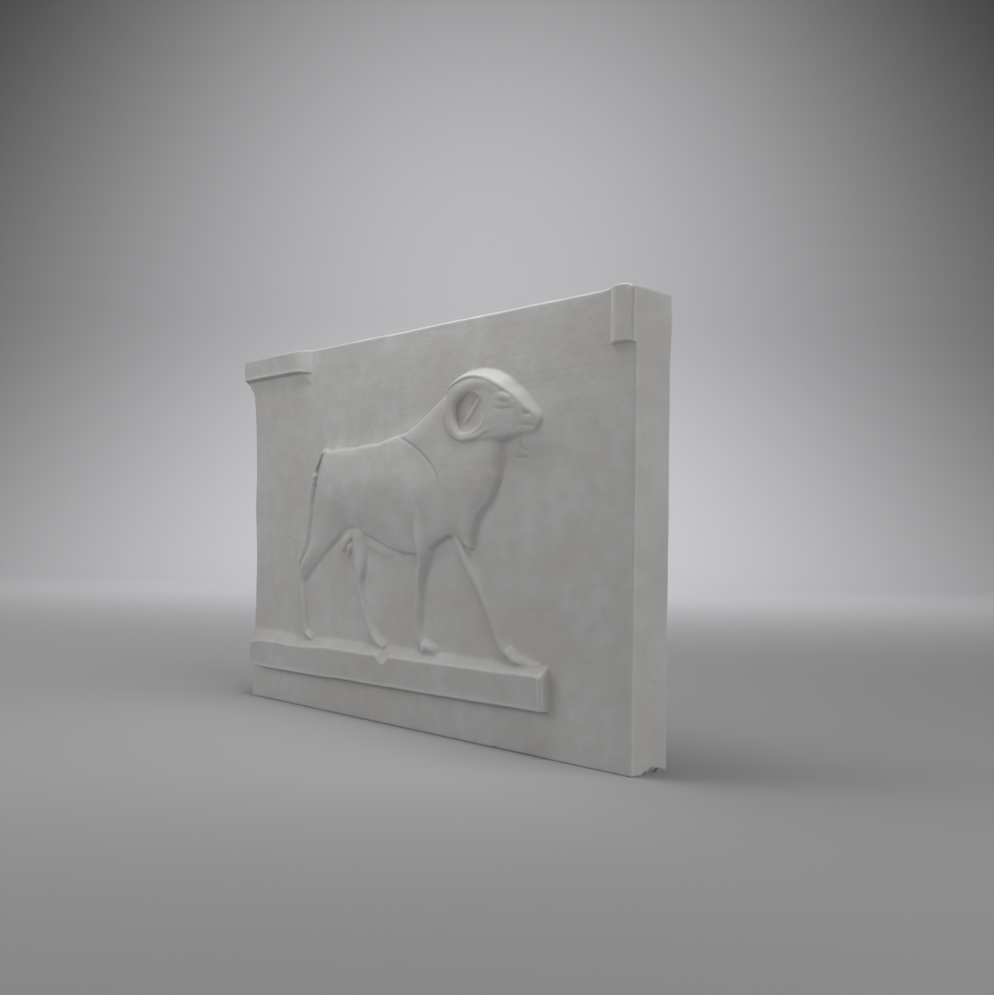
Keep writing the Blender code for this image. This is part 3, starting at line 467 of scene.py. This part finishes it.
def bar_edges(x):
    """The bar's lower edge and its worn, wavy upper one, both turning in at the ends."""
    left_turn = LEFT_CORNER * np.exp(np.minimum(FOOT_LEFT - x, 0) / LEFT_CORNER)
    right_turn = RIGHT_CORNER * np.exp(np.minimum(x - BAR_RIGHT, 0) / RIGHT_CORNER)
    along = np.column_stack([x, np.zeros(len(x)), np.full(len(x), BAR_WALL)])
    foot = bar_line(x, BAR_FOOT_LEFT, BAR_FOOT_RIGHT) + left_turn
    foot = foot + FOOT_WAVE * lumps(along, FOOT_WAVE_LONG)
    edge = bar_line(x, BAR_EDGE_LEFT, BAR_EDGE_RIGHT) - left_turn - right_turn
    edge = edge - DRIP_DEEP * np.exp(-((x - DRIP_X) / DRIP_REACH) ** 4)
    edge = edge + EDGE_WAVE * lumps(along, EDGE_WAVE_LONG)
    return foot, edge + EDGE_NICK * lumps(along, EDGE_NICK_LONG)


def bar_height(x, z):
    """The bar: a steep foot, a front leaning forward, a top sloping back, a worn left end."""
    foot, edge = bar_edges(x)
    under = rise((z - foot) / BAR_DRAFT)
    end = rise((BAR_RIGHT - x) / BAR_DRAFT)
    slope = (BAR_WALL - z) / (BAR_WALL - edge)
    worn = rise((x - FOOT_LEFT) / BAR_END_ROUND)
    front = 1 - BAR_LEAN * (edge - z) / (edge - foot)
    body = np.minimum.reduce([under, end, worn, front])
    return BAR_PROUD * meet(body, slope, BAR_ROUND)


def bar_seam(x, z):
    """The narrow seam that the tool left along the bar's foot."""
    foot, _ = bar_edges(x)
    along = np.clip((BAR_RIGHT - x) / BAR_END_ROUND, 0, 1)
    return SEAM_DEEP * along * np.exp(-((z - foot + SEAM_REACH) / SEAM_REACH) ** 2)


def block_heights(x, z):
    """The two blocks in the top corners; the left one has a cove under it and a sloping end."""
    end = rise((LEFT_BLOCK_END - x) / LEFT_BLOCK_END_SLOPE)
    left = LEFT_BLOCK_PROUD * np.minimum(end, rise((z - LEFT_BLOCK_FOOT) / LEFT_BLOCK_FOOT_SLOPE))
    cove = COVE_PROUD * np.minimum(end, rise((z - LEFT_BLOCK_FOOT + COVE_DROP) / (2 * COVE_DROP)))
    side = rise((x - RIGHT_BLOCK_START) / RIGHT_BLOCK_SIDE_SLOPE)
    right = RIGHT_BLOCK_PROUD * np.minimum(side, rise((z - RIGHT_BLOCK_FOOT) / RIGHT_BLOCK_FOOT_SLOPE))
    return np.maximum.reduce([left, cove, right])


# --- The hand-made surface --------------------------------------------------
# Clay smoothed with a thumb and a wooden tool never ends quite flat, and the
# tool left nicks in it. Small strokes under the chin may be a beard.
# Each mark is a line with its half width and its depth.
MARKS = [
    ([(57.4, 97.8), (57.5, 95.6), (58.4, 94.1), (60.6, 93.4)], 0.55, 0.35),
    ([(54.4, 91.9), (57.6, 91.4), (61.2, 91.5)], 0.5, 0.4), ([(83.4, 114.7), (86.6, 113.5)], 0.4, 0.22),
    ([(53.0, 80.3), (56.2, 79.8)], 0.35, 0.15), ([(58.0, 65.6), (61.2, 65.2)], 0.35, 0.2),
    ([(-79.4, 63.3), (-76.4, 65.0), (-74.0, 66.4)], 0.4, 0.2), ([(28.0, 80.0), (33.2, 79.6)], 0.35, 0.12),
    ([(-64.0, 20.4), (-57.6, 20.8)], 0.3, 0.15), ([(-30.5, 19.6), (-24.0, 19.2)], 0.3, 0.18),
    ([(19.6, 18.1), (27.4, 18.7)], 0.3, 0.18), ([(2.0, 98.2), (9.0, 95.0)], 0.5, 0.1)]
# The face's lumps: their size and how far they stand out.
HAND_LUMPS = [(21, 0.10), (6, 0.05), (1.7, 0.02)]
# How far outlines wander from their lines, over what length, and how z's wandering is set apart.
HAND_DRIFT, HAND_LONG, HOOF_DRIFT, HOOF_LONG, APART = 0.35, 5, 0.7, 2.3, 50
GROUND_FILLET = 0.8
# The ground's own swellings: it is higher behind the hock and along the throat.
GROUND_SWELLS = [
    (-56, 57, 12, 12, 0.6), (-64.5, 40, 8, 16, 1.1), (44, 76, 14, 18, 0.6), (34, 44, 12, 9, 0.25),
    (58, 98.5, 9, 7, 1.5)]
# It also rises softly towards the back and the neck: a line's half width and height.
BACK_RISE = [(-53, 97.0), (-48, 98.6), (-25, 99.2), (-8, 101.0), (4, 104.6), (15, 110.6)]
BACK_RISE_REACH, BACK_RISE_PROUD = 3.0, 0.6


def face_height(x, z):
    """How far the cast's face stands out of the slab at a place."""
    flat = np.column_stack([x, np.zeros(len(x)), z])
    hand_x = x + HAND_DRIFT * lumps(flat, HAND_LONG)
    hand_z = z + HAND_DRIFT * lumps(flat + APART, HAND_LONG)
    ground = swell(GROUND_SWELLS, x, z) + groove(BACK_RISE, BACK_RISE_REACH, BACK_RISE_PROUD, x, z)
    height = join(ram_height(hand_x, hand_z), ground, GROUND_FILLET)
    height = join(height, bar_height(x, z), BAR_FILLET) - bar_seam(x, z)
    hand_x = hand_x + HOOF_DRIFT * lumps(flat, HOOF_LONG)
    hand_z = hand_z + HOOF_DRIFT * lumps(flat + APART, HOOF_LONG)
    for form, fillet in HOOVES:
        height = join(height, stroke(form, hand_x, hand_z), fillet)
    height = join(height, block_heights(x, z), BLOCK_FILLET)
    for points, half_width, depth in MARKS:
        height = height - groove(points, half_width, depth, x, z)
    for size, proud in HAND_LUMPS:
        height = height + proud * lumps(flat, size)
    return height


# --- The cast's outline and its wear ----------------------------------------
# The plaster shrank and was handled: the left side flares out under its block, the
# top edge sags beside a hump at its right end, the arrises are rubbed round, the
# right side has runs of plaster on it and its lower corner behind has crumbled.
ARRIS, ARRIS_UNEVEN = 0.7, 0.3
# How long the unevenness is on the arrises, the top, the right side and the back.
ARRIS_LONG, TOP_LONG, SIDE_LONG, BACK_LONG = 16, 26, 11, 13
LEFT_SIDE = [
    (-4, FOOT_LEFT), (10, FOOT_LEFT), (30, FOOT_LEFT + 0.4), (56, FOOT_LEFT + 0.4), (66, FOOT_LEFT - 0.3),
    (78, FOOT_LEFT - 1.3), (98, FOOT_LEFT - 1.8), (112, FOOT_LEFT - 2.8), (124, FOOT_LEFT - 4.8),
    (129, OVERHANG_LEFT + 1.2), (132, OVERHANG_LEFT + 0.2), (145, OVERHANG_LEFT)]
FLARE_REACH = 18.0
# The blank's rows that follow the bar's foot, edge and top.
FOOT_ROW, EDGE_ROW, WALL_ROW = 14.0, 25.2, 30.8
TOP_SAG, TOP_REACH, HUMP_X, HUMP_REACH, CORNER_FALL = 0.55, 20.0, 97.5, 5.5, 1.3
SIDE_SINK, SIDE_REACH, BACK_SINK, BACK_BULGE_Z, BACK_BULGE_REACH = 0.4, 8.0, 0.7, 131.0, 9.0
# Runs and lumps on the right side: y, z, reach along y, reach along z, height.
SIDE_RUNS = [
    (5.8, 41.4, 0.6, 1.0, 0.4), (6.2, 36.6, 0.5, 2.8, 0.32), (10.4, 26.4, 0.8, 0.6, 0.3),
    (14.8, 15.0, 0.5, 3.0, 0.25), (8.6, 118.5, 0.9, 3.0, 0.25), (7.2, 129.4, 1.2, 1.4, 0.22),
    (11.2, 104.0, 0.7, 2.4, 0.2), (12.6, 63.0, 0.6, 2.6, 0.2)]
# Broken places, as balls taken out of the cast: x, y, z, radius.
CHIPS = [
    (105.8, 8.6, -6.4, 8.5), (104.6, 12.6, -1.2, 2.9), (104.2, 4.6, -1.3, 2.1), (103.6, 16.9, -0.4, 2.2),
    (104.1, -0.9, 37.2, 1.4), (104.0, -0.9, 61.4, 1.2), (104.1, -0.9, 101.8, 1.3),
    (-20.0, -1.0, -1.1, 1.9), (-26.0, -1.0, -1.0, 1.7), (47.0, -1.1, -1.2, 2.2), (53.0, -1.0, -1.0, 1.8),
    (-79.0, -1.0, -1.1, 1.9), (-62.0, -0.9, 140.2, 1.2), (21.0, -0.9, 140.2, 1.2),
    (-110.4, -4.0, 130.4, 1.7),
    (70.9, -4.5, 25.2, 1.6), (34.6, -4.6, 25.0, 1.2), (-97.0, -4.6, 14.0, 1.6)]
CHIP_UNEVEN, CHIP_GRAIN = 0.14, 1.3


def cast_form(blank):
    """Where each place of the blank ends up in the cast."""
    radius = (ARRIS * (1 + ARRIS_UNEVEN * lumps(blank, ARRIS_LONG)))[:, None]
    core = np.clip(blank, BLANK_LOW + radius, BLANK_HIGH - radius)
    outward = blank - core
    formed = core + radius * outward / np.maximum(np.linalg.norm(outward, axis=1), 1e-9)[:, None]
    x, y, z = formed.T
    rows = np.array(smooth_path(LEFT_SIDE))
    flare = np.interp(z, rows[:, 0], rows[:, 1]) - FOOT_LEFT
    x = x + flare * np.clip(1 - (x - FOOT_LEFT) / FLARE_REACH, 0, 1)
    foot, edge = bar_edges(x)
    below = (foot - FOOT_ROW) * np.clip(z / FOOT_ROW, 0, 1)
    above = (edge - EDGE_ROW) * np.clip((WALL_ROW - z) / (WALL_ROW - EDGE_ROW), 0, 1)
    part = np.clip((z - FOOT_ROW) / (EDGE_ROW - FOOT_ROW), 0, 1)
    z = z + (below + (above - below) * part) * np.clip((BAR_RIGHT + 10 - x) / 10, 0, 1)
    y = y - face_height(x, z) * (1 - y / THICKNESS)
    place = np.column_stack([x, y, z])
    hump = np.exp(-((x - HUMP_X) / HUMP_REACH) ** 2)
    corner = CORNER_FALL * np.clip((x - HUMP_X) / (RIGHT_SIDE - HUMP_X), 0, 1) ** 3
    sag = TOP_SAG * (1 - hump) * (0.8 + 0.4 * lumps(place * (1, 0, 0), TOP_LONG)) + corner
    sink = SIDE_SINK * (1 + 0.5 * lumps(place, SIDE_LONG)) - swell(SIDE_RUNS, y, z)
    bulge = np.exp(-((z - BACK_BULGE_Z) / BACK_BULGE_REACH) ** 2)
    hollow = BACK_SINK * (1 - bulge) * (1 + 0.4 * lumps(place * (0, 0, 1), BACK_LONG))
    place[:, 2] -= sag * rise(np.clip((z - SLAB_HEIGHT + TOP_REACH) / TOP_REACH, 0, 1))
    place[:, 0] -= np.clip(sink, 0, None) * np.clip(1 - (RIGHT_SIDE - x) / SIDE_REACH, 0, 1)
    nearby = np.clip(1 - (RIGHT_SIDE - x) / (3 * SIDE_REACH), 0, 1)
    place[:, 1] -= hollow * np.clip(y / THICKNESS, 0, 1) * nearby
    for chip_x, chip_y, chip_z, chip_radius in CHIPS:
        away = place - (chip_x, chip_y, chip_z)
        distance = np.linalg.norm(away, axis=1)
        close = np.flatnonzero(distance < chip_radius * (1 + CHIP_UNEVEN))
        reach = chip_radius * (1 + CHIP_UNEVEN * lumps(place[close], CHIP_GRAIN))
        push = np.maximum(reach / np.maximum(distance[close], 1e-6), 1)
        place[close] = (chip_x, chip_y, chip_z) + away[close] * push[:, None]
    return place


# Finer faces only where the form turns: three rounds of cutting in four each face that
# departs from the true form by more than a round's tolerance, in millimetres.
TOLERANCES = (0.045, 0.03, 0.022)

mesh.polygons.foreach_set("select", np.ones(len(mesh.polygons), bool))
for tolerance in TOLERANCES:
    mesh.calc_loop_triangles()
    corners = np.zeros(len(mesh.loop_triangles) * 3, int)
    mesh.loop_triangles.foreach_get("vertices", corners)
    owner = np.zeros(len(mesh.loop_triangles), int)
    mesh.loop_triangles.foreach_get("polygon_index", owner)
    selected = np.zeros(len(mesh.polygons), bool)
    mesh.polygons.foreach_get("select", selected)
    blank = places(mesh)
    corners = corners.reshape(-1, 3)
    tested = selected[owner] & (blank[corners, 1].min(axis=1) < THICKNESS - ARRIS)
    corners, owner = corners[tested], owner[tested]
    formed = cast_form(blank)
    departs = np.zeros(len(corners))
    for share in ((1 / 3, 1 / 3, 1 / 3), (0.5, 0.5, 0), (0, 0.5, 0.5), (0.5, 0, 0.5)):
        exact = cast_form(np.einsum("i,nij->nj", share, blank[corners]))
        straight = np.einsum("i,nij->nj", share, formed[corners])
        departs = np.maximum(departs, np.linalg.norm(exact - straight, axis=1))
    chosen = np.zeros(len(mesh.polygons), bool)
    chosen[owner[departs > tolerance]] = True
    mesh.vertices.foreach_set("select", np.zeros(len(mesh.vertices), bool))
    mesh.edges.foreach_set("select", np.zeros(len(mesh.edges), bool))
    mesh.polygons.foreach_set("select", chosen)
    bpy.ops.object.mode_set(mode="EDIT")
    bpy.ops.mesh.subdivide(number_cuts=1, ngon=False)
    bpy.ops.object.mode_set(mode="OBJECT")

blank = places(mesh)
formed = cast_form(blank)
in_frame = np.clip((formed + (SHIFT_X, SHIFT_Y, 0)) * MM, low_corner, high_corner)
mesh.vertices.foreach_set("co", in_frame.ravel())
mesh.update()
bpy.ops.object.shade_smooth()

# How much deeper each place of the ram lies than what is round it, close by and farther off,
# and where the slab's arrises are. The plaster's colour uses the two depths to paint shade in
# the ram's hollows and creases and highlight on its raised edges.
HOLLOW_REACHES = (1.3, 5.0)
ROUND_ABOUT = 5
ON_RAM = 0.9
on_face = np.flatnonzero(blank[:, 1] < ARRIS)
face_x, face_z = formed[on_face, 0], formed[on_face, 2]
own_height = face_height(face_x, face_z)
for name, reach in zip(("nook", "hollow"), HOLLOW_REACHES):
    around = [
        face_height(face_x + reach * math.cos(turn), face_z + reach * math.sin(turn))
        for turn in np.arange(0, math.tau, math.tau / ROUND_ABOUT)]
    depth = np.zeros(len(blank))
    share = np.clip((own_height - ON_RAM) / ON_RAM, 0, 1)
    depth[on_face] = (np.mean(around, axis=0) - own_height) / reach * share
    mesh.attributes.new(name, "FLOAT", "POINT").data.foreach_set("value", depth)
beside_ends = (blank < BLANK_LOW + ARRIS) | (blank > BLANK_HIGH - ARRIS)
arris = (beside_ends.sum(axis=1) > 1).astype(float)
mesh.attributes.new("arris", "FLOAT", "POINT").data.foreach_set("value", arris)

# --- The plaster ------------------------------------------------------------


def linear(code):
    """A colour's linear values from its sRGB hex code."""
    channels = [int(code[place:place + 2], 16) / 255 for place in (1, 3, 5)]
    return [c / 12.92 if c <= 0.04045 else ((c + 0.055) / 1.055) ** 2.4 for c in channels] + [1.0]


def add_node(material, kind, links=(), **settings):
    """Adds a node; settings are its own or its inputs' values, links are (input, socket) pairs."""
    node = material.node_tree.nodes.new(kind)
    for name, value in settings.items():
        if hasattr(node, name):
            setattr(node, name, value)
        else:
            node.inputs[name.replace("_", " ").title()].default_value = value
    for name, socket in links:
        material.node_tree.links.new(socket, node.inputs[name])
    return node


# Casting plaster, off-white and greyed by age and hands, and cloudy. Darker in the ram's hollows
# and creases, partly dust and partly painted shade; lighter on its raised edges, partly rubbed
# clean and partly painted highlight; lighter along the slab's arrises. It gives a dull, chalky
# surface with a faint sheen.
CLOUD_SIZE, BLOTCH_SIZE, STREAK_LONG, STREAK_WIDE = 28 * MM, 6 * MM, 26 * MM, 1.6 * MM
# Real plaster's grain is finer than 0.1 mm; it is drawn coarser so that it still shows.
GRAIN_SIZE, PIT_SPACING, PIT_REACH = 0.45 * MM, 3.4 * MM, 0.13

plaster = bpy.data.materials.new("cast plaster, smoothed and aged")
plaster.use_nodes = True
shader = plaster.node_tree.nodes["Principled BSDF"]
shader.inputs["IOR"].default_value = 1.5
place = add_node(plaster, "ShaderNodeTexCoord").outputs["Object"]
streak_place = add_node(
    plaster, "ShaderNodeMapping", [("Vector", place)],
    Scale=(1 / STREAK_LONG, 1 / STREAK_LONG, 1 / STREAK_WIDE)).outputs["Vector"]


def noise(where, size, detail=3.0):
    """The grey value of a noise texture with features of one size."""
    node = add_node(plaster, "ShaderNodeTexNoise", [("Vector", where)], Scale=1 / size, Detail=detail)
    return node.outputs["Fac"]


def ranged(value, low, high, bottom=0.0, top=1.0):
    """A value's range between low and high, stretched from bottom to top."""
    node = add_node(
        plaster, "ShaderNodeMapRange", [("Value", value)],
        From_Min=low, From_Max=high, To_Min=bottom, To_Max=top)
    return node.outputs["Result"]


def blended(share, first, second):
    """Two colours mixed by a share; each is a colour's values or a socket."""
    node = add_node(plaster, "ShaderNodeMix", data_type="RGBA")
    plaster.node_tree.links.new(share, node.inputs["Factor"])
    for place_in, colour in ((6, first), (7, second)):
        if isinstance(colour, bpy.types.NodeSocket):
            plaster.node_tree.links.new(colour, node.inputs[place_in])
        else:
            node.inputs[place_in].default_value = colour
    return node.outputs[2]


def product(first, second):
    """Two values multiplied."""
    node = add_node(plaster, "ShaderNodeMath", operation="MULTIPLY")
    plaster.node_tree.links.new(first, node.inputs[0])
    plaster.node_tree.links.new(second, node.inputs[1])
    return node.outputs["Value"]


def depth_of(name):
    """One of the cast's own attributes."""
    return add_node(plaster, "ShaderNodeAttribute", attribute_name=name).outputs["Fac"]


clouds = ranged(noise(place, CLOUD_SIZE), 0.38, 0.62)
blotches = ranged(noise(place, BLOTCH_SIZE), 0.35, 0.65)
streaks = ranged(noise(streak_place, 1.0, 2.0), 0.35, 0.65)
colour = blended(clouds, linear("#B4B2B0"), linear("#BBBBBA"))
colour = blended(ranged(blotches, 0, 1, 0, 0.45), colour, linear("#ADABA7"))
colour = blended(ranged(streaks, 0, 1, 0, 0.12), colour, linear("#BFBEBC"))
# Dust and painted shade: the ram's wider hollows are made darker and browner.
dust_and_shade = product(ranged(depth_of("hollow"), 0.02, 0.30), ranged(clouds, 0, 1, 0.55, 1.0))
colour = blended(ranged(dust_and_shade, 0, 1, 0, 0.8), colour, linear("#978F84"))
# Painted shade: the ram's narrow creases are made darker.
colour = blended(ranged(depth_of("nook"), 0.08, 0.6, 0, 0.5), colour, linear("#8E8881"))
# Painted highlight, partly edges rubbed clean: the ram's raised edges are made lighter.
colour = blended(ranged(depth_of("nook"), -0.08, -0.5, 0, 0.45), colour, linear("#D0D0CE"))
colour = blended(ranged(depth_of("arris"), 0, 1, 0, 0.25), colour, linear("#D0D0CE"))
plaster.node_tree.links.new(colour, shader.inputs["Base Color"])
rubbed = ranged(depth_of("nook"), -0.02, -0.35, 1.0, 0.7)
roughness = product(ranged(blotches, 0, 1, 0.56, 0.72), rubbed)
plaster.node_tree.links.new(roughness, shader.inputs["Roughness"])

pits = add_node(
    plaster, "ShaderNodeTexVoronoi", [("Vector", place)], Scale=1 / PIT_SPACING).outputs["Distance"]
surface = None
for height, depth in (
        (noise(place, GRAIN_SIZE, 2.0), 0.05 * MM), (noise(streak_place, 1.0, 2.0), 0.03 * MM),
        (noise(place, 2.2 * MM), 0.10 * MM), (ranged(pits, 0.0, PIT_REACH), 0.10 * MM)):
    bump = add_node(plaster, "ShaderNodeBump", [("Height", height)], Strength=1.0, Distance=depth)
    if surface:
        plaster.node_tree.links.new(surface, bump.inputs["Normal"])
    surface = bump.outputs["Normal"]
plaster.node_tree.links.new(surface, shader.inputs["Normal"])
cast.data.materials.append(plaster)

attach(cast, "root")
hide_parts("plaque")

# --- The studio -------------------------------------------------------------
# A pale sweep of paper, square to the camera and curved up behind, with a lamp of
# its own. The cast is lit by soft lamps all round its front, and one close above.
# Past the paper the room is pale too, but lights the cast very little.
SWEEP_SIZE, SWEEP_BEHIND, SWEEP_ROUND, SWEEP_HEIGHT, SWEEP_STEPS = 4.0, 1.3, 0.5, 2.2, 10

bpy.ops.object.select_all(action="DESELECT")
bpy.ops.mesh.primitive_plane_add(size=SWEEP_SIZE, location=(0, SWEEP_BEHIND - SWEEP_SIZE / 2, 0))
floor = bpy.context.object
floor.name = "floor"
bpy.ops.object.transform_apply(location=True)
far_edge = [edge.index for edge in floor.data.edges
            if all(floor.data.vertices[end].co.y > SWEEP_BEHIND - 0.1 for end in edge.vertices)]
bpy.ops.object.mode_set(mode="EDIT")
bpy.ops.mesh.select_mode(type="EDGE")
bpy.ops.mesh.select_all(action="DESELECT")
bpy.ops.object.mode_set(mode="OBJECT")
floor.data.edges[far_edge[0]].select = True
bpy.ops.object.mode_set(mode="EDIT")
for step in range(SWEEP_STEPS):
    turn = math.pi / 2 * (step + 0.5) / SWEEP_STEPS
    stride = SWEEP_ROUND * math.pi / 2 / SWEEP_STEPS
    bpy.ops.mesh.extrude_region_move(
        TRANSFORM_OT_translate={"value": (0, stride * math.cos(turn), stride * math.sin(turn))})
bpy.ops.mesh.extrude_region_move(TRANSFORM_OT_translate={"value": (0, 0, SWEEP_HEIGHT)})
bpy.ops.mesh.select_mode(type="FACE")
finish_editing()
floor.rotation_euler[2] = math.radians(CAMERA_TURN)
bpy.ops.object.transform_apply(rotation=True)
bpy.ops.object.shade_smooth()
paper = bpy.data.materials.new("pale paper")
paper.use_nodes = True
paper.node_tree.nodes["Principled BSDF"].inputs["Base Color"].default_value = linear("#AEAEB0")
paper.node_tree.nodes["Principled BSDF"].inputs["Roughness"].default_value = 0.9
floor.data.materials.append(paper)


def add_lamp(name, place, target, size, power, spread=180):
    """A square area lamp at a place, facing a target; its light is held to a spread in degrees."""
    bpy.ops.object.light_add(type="AREA", location=place)
    lamp = bpy.context.object
    lamp.name = name
    lamp.data.size = size
    lamp.data.energy = power
    lamp.data.spread = math.radians(spread)
    away = Matrix.Translation(target).translation - lamp.location
    lamp.rotation_euler = away.to_track_quat("-Z", "Y").to_euler()


CAST_MIDDLE, SOFT_LAMP = (0, 0, 0.07), 0.30
# Where each soft lamp stands and its power.
SOFT_LAMPS = [
    ("left", (-0.50, -0.40, 0.16), 0.66), ("upper left", (-0.22, -0.28, 0.34), 0.42),
    ("front", (0.00, -0.60, 0.20), 0.44), ("right front", (0.40, -0.50, 0.30), 0.20),
    ("right", (0.60, -0.10, 0.15), 0.76), ("right side", (0.50, 0.25, 0.28), 0.82)]
for name, stand, power in SOFT_LAMPS:
    add_lamp(name, stand, CAST_MIDDLE, SOFT_LAMP, power)
add_lamp("close above", (0.03, -0.02, 0.26), CAST_MIDDLE, 0.10, 0.27)
add_lamp("paper", (-0.40, 0.37, 1.60), (-1.10, 1.02, 0.10), 1.20, 14.0, spread=90)
world = bpy.data.worlds.new("studio")
bpy.context.scene.world = world
world.use_nodes = True
# What is seen straight past the paper is paler than the light that the room gives.
ROOM_SEEN, ROOM_LIGHT = 0.45, 0.02
room = world.node_tree.nodes["Background"]
room.inputs["Color"].default_value = linear("#BCBCBF")
seen = world.node_tree.nodes.new("ShaderNodeLightPath")
strength = world.node_tree.nodes.new("ShaderNodeMapRange")
strength.inputs["To Min"].default_value = ROOM_LIGHT
strength.inputs["To Max"].default_value = ROOM_SEEN
world.node_tree.links.new(seen.outputs["Is Camera Ray"], strength.inputs["Value"])
world.node_tree.links.new(strength.outputs["Result"], room.inputs["Strength"])
bpy.context.scene.view_settings.view_transform = "Standard"
